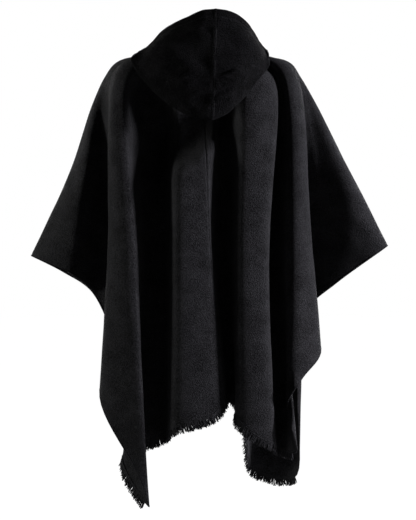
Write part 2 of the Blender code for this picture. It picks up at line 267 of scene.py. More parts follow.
def softNoise(points, sizes, seed):
    # Perlin noise at points stretched by sizes in metres, from -1 to 1
    apart = (13.7, 5.1, 9.3)            # how far one seed's noise lies from the next
    shift = Vector([part * seed for part in apart])
    scaled = points.reshape(-1, 3) / np.array(sizes)
    values = [noise.noise(Vector(point) + shift) for point in scaled]
    return np.array(values).reshape(points.shape[:-1])


def clothWall(name, grid, normals, thickness, uv, rim, material):
    # closed cloth with rounded rims round its middle surface; rim is how far each of
    # its four borders stands out: top, last column, bottom, first column
    rows, columns = grid.shape[:2]
    half = normals * thickness[..., None] / 2
    flat = np.arange(rows * columns).reshape(rows, columns)
    border = np.concatenate((flat[0, :], flat[1:, -1], flat[-1, -2::-1], flat[-2:0:-1, 0]))
    stands = np.concatenate((np.full(columns, rim[0]), np.full(rows - 1, rim[1]),
                             np.full(columns - 1, rim[2]), np.full(rows - 2, rim[3])))
    middle, out = grid.reshape(-1, 3)[border], half.reshape(-1, 3)[border]
    along = np.roll(middle, -1, axis=0) - np.roll(middle, 1, axis=0)
    beyond = unit(np.cross(along, out))
    edge = middle + beyond * (stands * np.linalg.norm(out, axis=1))[:, None]
    points = np.concatenate(((grid + half).reshape(-1, 3), (grid - half).reshape(-1, 3), edge))
    inner, first = rows * columns, 2 * rows * columns
    quads = np.stack((flat[:-1, :-1], flat[:-1, 1:], flat[1:, 1:], flat[1:, :-1]), axis=-1)
    quads = quads.reshape(-1, 4)
    after = np.roll(border, -1)
    lip = first + np.arange(len(border))
    lipAfter = np.roll(lip, -1)
    faces = np.concatenate((
        quads,
        quads[:, ::-1] + inner,
        np.stack((after, border, lip, lipAfter), axis=1),
        np.stack((lipAfter, lip, border + inner, after + inner), axis=1)))
    mesh = bpy.data.meshes.new(name)
    mesh.from_pydata(points.tolist(), [], faces.tolist())
    mesh.shade_smooth()
    layer = mesh.uv_layers.new(name="cloth")
    places = uv.reshape(-1, 2)
    places = np.concatenate((places, places, places[border]))
    loops = np.empty(len(mesh.loops), dtype=np.int32)
    mesh.loops.foreach_get("vertex_index", loops)
    layer.data.foreach_set("uv", places[loops].astype(np.float32).ravel())
    mesh.materials.append(material)
    return addObject(name, mesh)


def clothPlaces(grid):
    # where each point lies on the flat cloth, in metres across and up from the edge
    across = np.linalg.norm(np.diff(grid, axis=1), axis=-1).mean(axis=0)
    down = np.linalg.norm(np.diff(grid, axis=0), axis=-1)
    u = np.concatenate(((0,), np.cumsum(across)))
    below = np.cumsum(down[::-1], axis=0)[::-1]
    v = np.concatenate((below, np.zeros_like(below[:1])))
    return np.stack((np.broadcast_to(u, v.shape), v), axis=-1)


# Cloth materials

def addNoise(tree, vector, scale, detail, roughness=0.55):
    return addNode(tree, "ShaderNodeTexNoise", {
        "Vector": vector, "Scale": scale, "Detail": detail, "Roughness": roughness}, "Fac")


def addRamp(tree, value, low, high):
    return addNode(tree, "ShaderNodeMapRange", {
        "Value": value, "From Min": low, "From Max": high}, interpolation_type="SMOOTHSTEP")


weave = {
    "ribs": {"Distortion": 1.6, "Detail": 2.0, "Detail Scale": 1.4},
    "blotchScale": 22.0, "clumpScale": 340.0,           # broad patches, and clumps in the nap
    "napHeight": 1.2, "clumpHeight": 3.2,               # beside the ribs' own depth
    "clumpShade": 2.0, "middleShade": 2.0, "contrast": 3.0,
    "ribGroovePaintedShade": 0.95, "ribTopPaintedLight": 0.10,                    # painted shade between the ribs, and painted light on them
    "bendScale": 130.0, "bendReach": (0.014,) * 3,      # how stray fibres wander, m
    "fibreScale": 52.0, "fibreEdge": (0.022, 0.006),
    "patchScale": 75.0, "patchEdge": (0.70, 0.76),      # where fibres lie, thinly scattered
    "speckScale": 42.0, "speckEdge": (0.045, 0.025), "speckShare": 0.35,
    "roughLow": 0.84, "roughRise": 0.12,
    "sheenRoughness": 0.45, "bumpStrength": 0.8,
}


def makeWoolGroup():
    # felted twill: slanting ribs on the flat cloth, a matted nap, and stray lint
    group, given, result = newTree("feltedWool", "ShaderNodeTree", (
        ("Flat Place", "Vector"), ("Place", "Vector"),
        ("Colour", "Color", (0.012, 0.012, 0.0125, 1)),
        ("Lint Colour", "Color", (0.10, 0.10, 0.10, 1)),
        ("Rib Scale", "Float", 150.0), ("Rib Depth", "Float", 0.5),
        ("Nap Scale", "Float", 900.0), ("Variation", "Float", 0.25), ("Lint", "Float", 1.0),
    ), (("Colour", "Color"), ("Roughness", "Float"), ("Height", "Float")))
    place = given["Place"]
    ribs = addNode(group, "ShaderNodeTexWave", {
        **weave["ribs"], "Vector": given["Flat Place"], "Scale": given["Rib Scale"]},
        "Fac", bands_direction="DIAGONAL")
    nap = addNoise(group, place, given["Nap Scale"], 4.0, 0.65)
    blotch = addNoise(group, place, weave["blotchScale"], 3.0)
    clump = addNoise(group, place, weave["clumpScale"], 2.0)
    height = addMath(group, "MULTIPLY", ribs, given["Rib Depth"])
    for noisy, tall in ((nap, "napHeight"), (clump, "clumpHeight")):
        height = addMath(group, "ADD", height, addMath(group, "MULTIPLY", noisy, weave[tall]))
    # darker and lighter patches, and painted shade between the ribs
    grain = addMath(group, "ADD", addMath(group, "MULTIPLY", clump, weave["clumpShade"]), nap)
    shade = addMath(group, "ADD", blotch, grain)
    ribPaintedShade = addMath(group, "MULTIPLY", ribs, weave["ribTopPaintedLight"])
    for operation, value in (("SUBTRACT", weave["middleShade"]),
                             ("MULTIPLY", given["Variation"]),
                             ("MULTIPLY", weave["contrast"]), ("ADD", 1.0),
                             ("MULTIPLY", addMath(group, "ADD", ribPaintedShade, weave["ribGroovePaintedShade"]))):
        shade = addMath(group, operation, shade, value)
    tint = addNode(group, "ShaderNodeVectorMath", (given["Colour"], shade), operation="SCALE")
    # short bent fibres of lint, and specks
    bend = addNode(group, "ShaderNodeTexNoise",
                   {"Vector": place, "Scale": weave["bendScale"]}, "Color")
    bent = addNode(group, "ShaderNodeVectorMath", (bend, weave["bendReach"], place),
                   operation="MULTIPLY_ADD")
    cells = addNode(group, "ShaderNodeTexVoronoi",
                    {"Vector": bent, "Scale": weave["fibreScale"]}, feature="DISTANCE_TO_EDGE")
    fibre = addRamp(group, cells, *weave["fibreEdge"])
    patch = addRamp(group, addNoise(group, place, weave["patchScale"], 0.0),
                    *weave["patchEdge"])
    specks = addNode(group, "ShaderNodeTexVoronoi",
                     {"Vector": place, "Scale": weave["speckScale"]}, "Distance")
    speck = addRamp(group, specks, *weave["speckEdge"])
    lint = addMath(group, "MAXIMUM", addMath(group, "MULTIPLY", fibre, patch),
                   addMath(group, "MULTIPLY", speck, weave["speckShare"]))
    lint = addMath(group, "MULTIPLY", lint, given["Lint"], clamp=True)
    colour = addNode(group, "ShaderNodeMix", {
        "Factor": lint, "A": tint, "B": given["Lint Colour"]}, data_type="RGBA")
    rough = addMath(group, "ADD", addMath(group, "MULTIPLY", nap, weave["roughRise"]),
                    weave["roughLow"])
    for label, value in (("Colour", colour), ("Roughness", rough), ("Height", height)):
        group.links.new(value, result[label])
    return group


woolGroup = makeWoolGroup()
finishColumns = ("Colour", "Rib Scale", "Rib Depth", "Nap Scale", "Variation", "Lint",
                 "bump", "shine", "sheen")
woolFinishes = {
    "panelWool": ((0.0105, 0.0105, 0.0110, 1), 150.0, 0.4, 900.0, 0.78, 0.22,
                  0.0014, 0.12, 0.03),
    # the hood is the same wool as the panels: its colour, about a third of theirs, is painted
    # shade
    "hoodWoolPaintedShade": ((0.0034, 0.0034, 0.0035, 1), 150.0, 0.35, 800.0, 1.20, 0.15,
                 0.0020, 0.03, 0.008),
    "fringeYarn": ((0.0150, 0.0150, 0.0156, 1), 260.0, 1.2, 1500.0, 0.40, 0.3,
                   0.0005, 0.12, 0.05),
    "seamThread": ((0.0150, 0.0150, 0.0155, 1), 420.0, 1.2, 2400.0, 0.25, 0.0,
                   0.0003, 0.12, 0.03),
}


def woolMaterial(name):
    finish = dict(zip(finishColumns, woolFinishes[name]))
    material = bpy.data.materials.new(name)
    material.use_nodes = True
    tree = material.node_tree
    shader = tree.nodes["Principled BSDF"].inputs
    for label, value in (("Metallic", 0.0), ("Specular IOR Level", finish.pop("shine")),
                         ("Sheen Weight", finish.pop("sheen")),
                         ("Sheen Roughness", weave["sheenRoughness"])):
        shader[label].default_value = value
    height = finish.pop("bump")
    flatPlace = addNode(tree, "ShaderNodeUVMap", uv_map="cloth")
    place = addNode(tree, "ShaderNodeTexCoord", output="Object")
    wool = addNode(tree, "ShaderNodeGroup", node_tree=woolGroup).node
    for label, value in finish.items():
        wool.inputs[label].default_value = value
    bump = addNode(tree, "ShaderNodeBump", {
        "Height": wool.outputs["Height"], "Distance": height,
        "Strength": weave["bumpStrength"]})
    for start, end in ((flatPlace, wool.inputs["Flat Place"]), (place, wool.inputs["Place"]),
                       (wool.outputs["Colour"], shader["Base Color"]),
                       (wool.outputs["Roughness"], shader["Roughness"]),
                       (bump, shader["Normal"])):
        tree.links.new(start, end)
    return material


materials = {name: woolMaterial(name) for name in woolFinishes}
print("materials made:", ", ".join(materials))


# The cloth: fold lines from the neck hole to the edge, in mm, round the whole garment

cloth = {
    "wall": 0.0025, "rim": (0.4, 0.1, 0.8, 0.1),     # how far each border is rounded out
    "solidAcross": 3, "solidDown": (2, 2, 6, 8),     # as coarse as the solids
    "across": 9, "down": (8, 8, 34, 44),             # faces from one fold line to the next
    "seamLines": (0.0012, 0.0028, 0.0045, 0.0065),   # extra lines beside a seam
    "edgeLines": (0.0010, 0.0024, 0.0042, 0.0062),   # and beside the cloth's edge
    "seamGap": 0.00003,
    "shoulderAt": 0.72, "backLift": 0.08, "sideLift": 0.09,
}
neckHole = {"halfWidth": 0.088, "halfDepth": 0.080, "centreY": 0.012,
            "sideZ": 0.022, "napeZ": 0.018, "frontZ": -0.048}

foldColumns = ("name", "neck", "top", "middle", "edge")
backLeft = (
    ("centre seam", 0, (-7, -146, -131), (4, -178, -470), (40, -168, -862)),
    ("middle ridge right", 10, (-26, -152, -142), (-16, -187, -475), (16, -188, -894)),
    ("middle ridge left", 24, (-76, -146, -125), (-78, -191, -482), (-86, -192, -926)),
    ("left valley", 38, (-112, -70, -98), (-108, -84, -482), (-112, -88, -956)),
    ("corner tuck", 48, (-182, -72, -84), (-160, -98, -482), (-216, -128, -1006)),
    ("corner fold right", 56, (-205, -108, -64), (-184, -182, -482), (-147, -180, -1124)),
    ("corner fold front", 63, (-222, -102, -52), (-220, -178, -482), (-176, -184, -1040)),
    ("corner fold left", 70, (-238, -82, -49), (-251, -142, -482), (-272, -146, -851)),
    ("arm tuck", 77, (-250, -54, -52), (-226, -46, -482), (-240, -58, -710)),
    ("sleeve inside", 83, (-260, -33, -48), (-276, -12, -370), (-292, -10, -590)),
    ("arm back", 88, (-267, -14, -46), (-322, -56, -310), (-356, -58, -538)),
)
armLeft = ("arm line", 93, (-268, 8, -38), (-362, 6, -290), (-456, 6, -497))
frontLeft = (
    ("arm front", 98, (-267, 28, -46), (-330, 74, -300), (-378, 82, -540)),
    ("sleeve inside", 103, (-260, 48, -50), (-288, 54, -385), (-300, 50, -594)),
    ("arm tuck", 109, (-255, 66, -52), (-236, 92, -482), (-245, 96, -745)),
    ("corner fold left", 116, (-248, 88, -54), (-258, 150, -482), (-268, 158, -860)),
    ("corner fold front", 124, (-231, 100, -60), (-222, 172, -482), (-212, 184, -970)),
    ("corner fold right", 132, (-210, 104, -70), (-182, 158, -482), (-175, 172, -1040)),
    ("corner tuck", 140, (-196, 100, -82), (-166, 118, -482), (-185, 128, -965)),
    ("valley", 149, (-150, 104, -105), (-142, 104, -482), (-140, 108, -915)),
    ("chest ridge left", 160, (-80, 128, -112), (-88, 170, -482), (-85, 186, -875)),
    ("chest ridge right", 171, (-30, 128, -116), (-36, 178, -482), (-34, 192, -860)),
    ("centre seam", 180, (-4, 118, -116), (0, 158, -482), (2, 166, -852)),
)
frontRight = (
    ("chest ridge left", -171, (26, 128, -116), (35, 178, -482), (38, 192, -860)),
    ("chest ridge right", -160, (76, 128, -112), (80, 170, -482), (62, 186, -874)),
    ("valley", -149, (142, 104, -105), (130, 104, -482), (98, 108, -925)),
    ("corner tuck", -140, (180, 98, -80), (156, 124, -482), (118, 176, -1062)),
    ("corner fold left", -132, (196, 104, -68), (180, 160, -482), (160, 180, -1086)),
    ("corner fold front", -124, (214, 100, -58), (216, 174, -482), (206, 166, -1090)),
    ("corner fold right", -116, (230, 88, -52), (248, 150, -482), (236, 138, -1076)),
    ("arm tuck", -109, (236, 66, -50), (236, 92, -482), (240, 112, -790)),
    ("sleeve inside", -103, (240, 48, -48), (300, 54, -385), (304, 50, -574)),
    ("arm front", -98, (241, 28, -42), (338, 74, -300), (390, 82, -526)),
)
armRight = ("arm line", -93, (239, 6, -36), (366, 2, -279), (463, 2, -471))
backRight = (
    ("arm back", -88, (240, -16, -42), (356, -30, -288), (451, -30, -479)),
    ("sleeve inside", -83, (237, -28, -46), (302, -8, -385), (330, -8, -568)),
    ("arm tuck", -77, (232, -38, -52), (254, 8, -460), (262, 10, -632)),
    ("side fold side", -71, (230, -72, -52), (261, -138, -482), (284, -122, -742)),
    ("side fold front", -65, (214, -92, -50), (226, -166, -470), (232, -164, -808)),
    ("side fold left", -58, (196, -94, -56), (199, -158, -482), (198, -160, -874)),
    ("side tuck", -52, (190, -84, -62), (178, -108, -482), (221, -120, -990)),
    ("right valley", -46, (178, -78, -68), (152, -92, -482), (176, -94, -984)),
    ("right ridge edge", -39, (168, -106, -74), (149, -172, -482), (164, -178, -966)),
    ("right ridge crest", -31, (134, -126, -82), (118, -187, -482), (132, -194, -952)),
    ("right ridge left", -22, (84, -134, -101), (78, -186, -482), (74, -188, -908)),
    ("centre valley right", -16, (56, -92, -106), (48, -88, -482), (70, -98, -858)),
    ("centre valley left", -11, (34, -98, -112), (22, -96, -482), (50, -102, -852)),
    ("middle ridge edge", -6, (14, -140, -138), (10, -158, -470), (44, -146, -858)),
)
foldLines = (*backLeft, armLeft, *frontLeft, *frontRight, armRight, *backRight)


def neckPoint(degrees):
    turn = math.radians(degrees)
    back = math.cos(turn)
    rise = (neckHole["napeZ"] - neckHole["frontZ"]) / 2
    bend = (neckHole["napeZ"] + neckHole["frontZ"]) / 2 - neckHole["sideZ"]
    return np.array((-neckHole["halfWidth"] * math.sin(turn),
                     neckHole["centreY"] - neckHole["halfDepth"] * back,
                     neckHole["sideZ"] + rise * back + bend * back * back))


def awayFromBody(chord):
    # square to the chord and as nearly straight up as it can be
    along = unit(chord)
    return unit(np.array((0.0, 0.0, 1.0)) - along[2] * along)


def overShoulder(neck, top, lift):
    chord = top - neck
    away = awayFromBody(chord)
    return neck + cloth["shoulderAt"] * chord + lift * np.linalg.norm(chord) * away


def foldLine(row, steps):
    line = dict(zip(foldColumns, row))
    neck = neckPoint(line["neck"])
    top, middle, edge = (np.array(line[key]) * mm for key in ("top", "middle", "edge"))
    lift = cloth["backLift"] + cloth["sideLift"] * math.sin(math.radians(line["neck"])) ** 2
    return curveThrough((neck, overShoulder(neck, top, lift), top, middle, edge), steps)


def ringOfCloth(down, across):
    # rows run round the garment from the centre of the back, and end where they began
    lines = np.array([foldLine(row, down) for row in foldLines])
    ring = np.moveaxis(curveThrough(lines, across, closed=True), 0, 1)
    return np.concatenate((ring, ring[:, :1]), axis=1)


solidRing = ringOfCloth(cloth["solidDown"], cloth["solidAcross"])
fineRing = ringOfCloth(cloth["down"], cloth["across"])
seamAt = cloth["across"] * foldLines.index(frontLeft[-1])
print("cloth laid out:", fineRing.shape[1], "lines round,", fineRing.shape[0], "down")


# Creases on the cloth: a line in mm across and up, on the back (-1) or
# the front (1), its width and how deep it is pressed in (or stands out, if negative)

creaseColumns = ("name", "side", "start", "end", "width", "depth")
creases = (
    ("pressed fold, corner", -1, (-268, -722), (-196, -766), 9, 2.2),
    ("drag under the hood", -1, (-60, -300), (-22, -262), 10, 1.4),
    ("elbow crease", -1, (392, -372), (428, -420), 13, 3.2),
    ("elbow crease, lower", -1, (378, -430), (408, -462), 11, 2.2),
    ("sleeve drag, left", -1, (-300, -180), (-372, -372), 26, 3.0),
    ("sleeve drag, right", -1, (290, -170), (352, -340), 26, 2.6),
    ("shoulder drag, left", -1, (-232, -92), (-212, -250), 14, 1.6),
    ("shoulder drag, right", -1, (168, -96), (140, -250), 15, 2.0),
    ("side fold drag", -1, (236, -560), (262, -700), 18, 1.8),
    ("chest drag, left", 1, (-70, -150), (-96, -420), 24, 2.6),
    ("chest drag, right", 1, (64, -150), (92, -400), 24, 2.4),
    ("front pressed fold", 1, (-120, -640), (-20, -690), 11, 1.8),
    ("front elbow, left", 1, (-400, -380), (-348, -430), 14, 2.8),
    ("front elbow, right", 1, (404, -360), (350, -410), 14, 2.8),
    ("front sleeve drag, left", 1, (-300, -180), (-360, -380), 24, 2.6),
    ("front sleeve drag, right", 1, (290, -180), (356, -350), 24, 2.6),
)
creaseForm = {
    "facing": 2.5,                              # a crease fades where the cloth turns away
    "from": 0.08, "over": 0.84, "power": 0.8,   # how it runs out at its ends
    "lip": 0.45, "lipAt": 1.5, "lipWidth": 1.2,      # cloth pushed up on one side, in widths
}
clothRelief = {
    "ripples": ((0.0024, (0.075, 0.075, 0.42), 1),           # long soft waves down the cloth
                (0.0010, (0.05, 0.05, 0.09), 2)),            # depth, size and seed
    "calmBeside": 0.03, "calmTop": 0.06, "calmOver": 0.12,   # no waves by seams and neck
    "seamDepth": 0.0013, "seamWidth": 0.0016,                # the groove between two panels
    "bandHeight": 0.0007, "bandWidth": 0.0050,               # and the turned cloth beside it
    "selvedge": 0.0006, "selvedgeAt": 0.0036, "selvedgeWidth": 0.0014,
}


def bell(values, width):
    return np.exp(-(values / width) ** 2)


def creaseRelief(points, normals, rows):
    form = creaseForm
    relief = np.zeros(points.shape[:-1])
    flat = points[..., [0, 2]]
    for row in rows:
        crease = dict(zip(creaseColumns, row))
        start, end = np.array(crease["start"]) * mm, np.array(crease["end"]) * mm
        along = end - start
        share = np.clip(((flat - start) @ along) / (along @ along), 0, 1)
        off = flat - (start + share[..., None] * along)
        side = np.sign(off @ np.array((along[1], -along[0])))
        far = np.linalg.norm(off, axis=-1) / (crease["width"] * mm)
        fade = np.sin(np.pi * (form["from"] + form["over"] * share)) ** form["power"]
        facing = smoothStep(normals[..., 1] * crease["side"] * form["facing"])
        shape = bell(far, 1) - form["lip"] * bell(far - form["lipAt"] * side, form["lipWidth"])
        relief -= crease["depth"] * mm * shape * fade * facing
    return relief


hollowColumns = ("name", "centre", "left", "right", "tall", "lean", "depth")
hollows = (
    ("under the hood", (-46, -168), 112, 120, 100, 0.7, 52),
    ("side strip", (217, -925), 20, 32, 118, 0.0, -52),
)
hollowForm = {"edge": 1.25, "fade": 0.06}       # fading out towards the garment's middle, m


def pressIn(grid, rows):
    # press the back of the cloth in round a centre, or out where the depth is negative, in mm
    for row in rows:
        hollow = dict(zip(hollowColumns, row))
        across, up = np.moveaxis(grid[..., [0, 2]] / mm - hollow["centre"], -1, 0)
        wide = np.where(across < 0, hollow["left"], hollow["right"])
        away = np.hypot(across / wide, (up - hollow["lean"] * across) / hollow["tall"])
        share = smoothStep(hollowForm["edge"] - away)
        share = share * smoothStep(-grid[..., 1] / hollowForm["fade"])
        grid[..., 1] += hollow["depth"] * mm * share
    return grid


def makePanel(name, start, end):
    # one panel: its middle surface with its relief, its normals and its flat places
    size = clothRelief
    grid = fineRing[:, start:end + 1]
    for lines, axis, atEnd in (("seamLines", 1, False), ("seamLines", 1, True),
                               ("edgeLines", 0, True)):
        grid = insertNear(grid, cloth[lines], axis, atEnd)
    places = clothPlaces(grid)
    grid = pressIn(grid, hollows)
    normals = gridNormals(grid)
    relief = np.zeros(grid.shape[:2])
    for depth, stretch, seed in size["ripples"]:
        relief += depth * softNoise(grid, stretch, seed)
    relief += creaseRelief(grid, normals, creases)
    across = places[0, :, 0]
    fromSeam = np.minimum(across, across[-1] - across)
    relief *= (smoothStep(fromSeam / size["calmBeside"])[None, :]
               * smoothStep((size["calmTop"] - grid[..., 2]) / size["calmOver"]))
    groove = bell(fromSeam, size["seamWidth"])
    band = bell(fromSeam - size["bandWidth"], 0.5 * size["bandWidth"])
    relief += (size["bandHeight"] * band - size["seamDepth"] * groove)[None, :]
    up, width = places[..., 1], size["selvedgeWidth"]
    relief += size["selvedge"] * (bell(up, width) - bell(up - size["selvedgeAt"], width))
    grid = grid + normals * relief[..., None]
    for column, beside in ((0, 1), (-1, -2)):
        inward = unit(grid[:, beside] - grid[:, column])
        grid[:, column] += inward * cloth["seamGap"]
    normals = gridNormals(grid)
    thickness = np.full(grid.shape[:2], cloth["wall"])
    piece = clothWall(name, grid, normals, thickness, places, cloth["rim"],
                      materials["panelWool"])
    return piece, grid, normals


panelLeft, gridLeft, normalsLeft = makePanel("panelLeft", 0, seamAt)
panelRight, gridRight, normalsRight = makePanel("panelRight", seamAt, fineRing.shape[1] - 1)
print("panels sewn:", len(panelLeft.data.polygons) + len(panelRight.data.polygons), "faces")


# The hood, from its centre seam at the back round to the throat, in mm

hood = {
    "solidAcross": 2, "solidDown": (3, 3, 2, 6, 3, 2),
    "finerDown": 5, "finerAcross": 6,
    "seat": 0.0031, "lift": 0.13, "foldRadius": 0.008, "foldTurn": 1.5,
    "hemWidth": 0.022, "hemWall": 0.0042, "rim": (0.2, 0.1, 0.8, 0.1), "rounds": 2,
    "layerGap": 0.0060, "layerReach": 0.025, "liftReach": 0.060,
    "clear": (0.0031, 0.0058, 0.0062, 0.0110, 0.0220, 0.0250, 0.0270),
    "seatRows": 3, "seatOff": 0.0028, "standOff": 0.0034,    # least way to the panels' middle
    "standReach": 0.02,
}
hoodRelief = {
    "outerFrom": 0.42, "outerOver": 0.06,              # only the outer layer has relief
    "ripples": ((0.0022, (0.06, 0.06, 0.045), 3), (0.0008, (0.022, 0.03, 0.018), 4)),
    "calmBeside": 0.008,
    "ridge": 0.0009, "ridgeWidth": 0.0024,             # the seam stands up,
    "grooveShare": 0.3, "grooveWidth": 0.0009,         # with a fine groove down its middle
    "hemBand": 0.0275, "hemStep": 0.003,               # the turned hem ends in a step
    "stitchedAt": (0.0250, 0.0195), "stitchDepth": 0.0014, "stitchWidth": 0.0019,
}
hoodColumns = ("neck", "stand", "fold", "belly", "edge")    # stand: share of the clearances
hoodLeftLines = (
    (0, 1, (10, -182, -158), (14, -198, -40), (20, -112, 127)),
    (14, 1, (-42, -180, -148), (-32, -196, -36), (-14, -110, 124)),
    (27, 1, (-83, -174, -128), (-70, -189, -22), (-48, -100, 110)),
    (41, 1, (-121, -158, -98), (-108, -172, -2), (-80, -84, 96)),
    (53, 0.9, (-152, -134, -66), (-146, -134, 8), (-108, -60, 82)),
    (68, 0.5, (-191, -87, -12), (-179, -73, 4), (-126, -30, 70)),
    (78, 0.5, (-179, -60, 5), (-158, -49, 33), (-124, -10, 62)),
    (88, 0.8, (-178, -18, 21), (-168, -15, 31), (-117, 8, 54)),
    (105, 0.9, (-164, 44, 12), (-148, 48, 32), (-112, 44, 40)),
    (122, 1, (-152, 94, -20), (-134, 92, 8), (-102, 76, 14)),
    (140, 1, (-106, 128, -60), (-98, 126, -26), (-76, 100, -10)),
    (160, 1, (-54, 142, -86), (-50, 142, -50), (-40, 116, -30)),
    (180, 1, (-3, 146, -96), (-3, 146, -60), (-3, 122, -40)),
)
hoodRightLines = (
    (0, 1, (10, -182, -158), (14, -198, -40), (20, -112, 127)),
    (-14, 1, (46, -180, -142), (48, -194, -34), (50, -110, 122)),
    (-27, 1, (70, -173, -120), (80, -186, -18), (76, -98, 113)),
    (-41, 1, (96, -158, -94), (104, -168, 0), (97, -82, 98)),
    (-53, 0.9, (119, -136, -62), (126, -136, 16), (110, -58, 84)),
    (-68, 0.7, (158, -86, -9), (146, -78, 20), (121, -28, 70)),
    (-78, 0.8, (152, -57, 8), (142, -50, 36), (118, -10, 70)),
    (-88, 0.8, (146, -25, 18), (130, -22, 50), (113, 6, 64)),
    (-105, 0.9, (143, 44, 12), (133, 48, 34), (106, 44, 42)),
    (-122, 1, (134, 92, -20), (120, 92, 8), (94, 76, 14)),
    (-140, 1, (98, 126, -60), (90, 124, -26), (72, 100, -10)),
    (-160, 1, (50, 142, -86), (47, 142, -50), (38, 116, -30)),
    (-180, 1, (3, 146, -96), (3, 146, -60), (3, 122, -40)),
)
hoodCreases = (
    ("by the seam, high", -1, (16, -48), (62, -34), 6, 6.5),
    ("by the seam, low", -1, (10, -98), (56, -80), 6, 6.0),
    ("under the belly", -1, (-16, -122), (12, -106), 8, 3.6),
    ("left of the seam, low", -1, (-34, -110), (6, -98), 8, 2.2),
    ("hollow left of the seam", -1, (-58, 40), (-2, -30), 30, 5.0),
    ("hollow, top left", -1, (-12, 82), (12, 64), 11, 3.0),
    ("long soft fold, left", -1, (-122, 8), (-60, -40), 16, 5.0),
    ("sharp crease, left", -1, (-84, -66), (-54, -36), 5, 3.2),
    ("soft fold, right", -1, (40, 40), (96, 8), 20, 3.6),
    ("level folds, left", -1, (-48, -76), (4, -70), 9, 3.0),
    ("level folds, left, high", -1, (-60, -52), (0, -54), 8, 2.2),
    ("drag to the corner, right", -1, (70, -30), (120, 2), 12, 2.6),
    ("front throat, left", 1, (-60, -66), (-26, -48), 10, 2.0),
    ("front throat, right", 1, (58, -64), (26, -48), 10, 2.0),
)


def shortfall(point, tree, clear, reach):
    # what to add to a point so that it stands clear of a surface within reach
    square = 0.7        # with less of the way there along the normal, it lies past the border
    spot, normal, _, apart = tree.find_nearest(Vector(point))
    normal = np.array(normal)
    height = (point - np.array(spot)) @ normal
    beyondBorder = apart > clear and abs(height) < square * apart
    if height >= clear or apart > reach or beyondBorder:
        return np.zeros(3)
    return normal * (clear - height)


def liftOff(grid, tree, clear, reach):
    shares = ((0, 0), (0.5, 0), (0, 0.5), (0.5, 0.5))
    lift = np.zeros_like(grid)
    for row in range(len(grid) - 1):
        for column in range(grid.shape[1] - 1):
            cell = grid[row:row + 2, column:column + 2]
            for down, across in shares:
                weights = np.outer((1 - down, down), (1 - across, across))
                point = np.einsum("ij,ijk->k", weights, cell)
                distance = np.sum(weights * clear[row:row + 2, column:column + 2])
                move = shortfall(point, tree, distance, reach)
                for i, j in np.argwhere(weights > 0):
                    if np.linalg.norm(lift[row + i, column + j]) < np.linalg.norm(move):
                        lift[row + i, column + j] = move
    grid += lift


def clearances(stand):
    # how far the hood's points stay from the panels; near the neck never less than in full
    full = np.array(hood["clear"])
    return np.maximum(stand * full, np.minimum(full, hood["clear"][1]))


def hoodLine(neck, stand, fold, belly, edge, tree):
    neck = neckPoint(neck)
    clears = clearances(stand)
    fold = fold + shortfall(fold, tree, clears[3], hood["liftReach"])
    away = awayFromBody(fold - neck)
    back = unit(neck - fold)
    neck = neck + away * hood["seat"]
    inner = fold + (hood["foldTurn"] * back - away) * hood["foldRadius"]
    hem = edge + unit(belly - edge) * hood["hemWidth"]
    shoulder = overShoulder(neck, inner, hood["lift"])
    points = (neck, shoulder, inner, fold, belly, hem, edge)
    points = [point + shortfall(point, tree, clear, hood["liftReach"])
              for point, clear in zip(points, clears)]
    return curveThrough(points, hood["solidDown"])


def hoodGrid(table, tree):
    weight = 0.1                        # small, so that stand hardly changes the curve
    rows = []
    for row in table:
        line = dict(zip(hoodColumns, row))
        roundNeck = math.radians(line["neck"]) * neckHole["halfWidth"]
        rows.append((roundNeck, weight * line["stand"],
                     *(mm * value for key in hoodColumns[2:] for value in line[key])))
    rows = curveThrough(rows, hood["solidAcross"])
    stand = (1 / weight) * rows[:, 1]
    lines = [hoodLine(math.degrees(values[0] / neckHole["halfWidth"]), share,
                      values[2:5], values[5:8], values[8:], tree)
             for values, share in zip(rows, stand)]
    grid = np.stack(lines, axis=1)
    if table is hoodRightLines:
        grid, stand = grid[:, ::-1].copy(), stand[::-1]
    down = np.cumsum((0, *hood["solidDown"]))
    clear = np.stack([np.interp(np.arange(down[-1] + 1), down, clearances(share))
                      for share in stand], axis=1)
    turn = sum(hood["solidDown"][:3])    # rows of the inner layer
    for _ in range(hood["rounds"]):
        liftOff(grid, tree, clear, hood["liftReach"])
        inner = surfaceTree(grid[:turn])
        gaps = np.full(grid.shape[:2], hood["layerGap"])
        liftOff(grid[turn + 1:], inner, gaps, hood["layerReach"])
    return grid


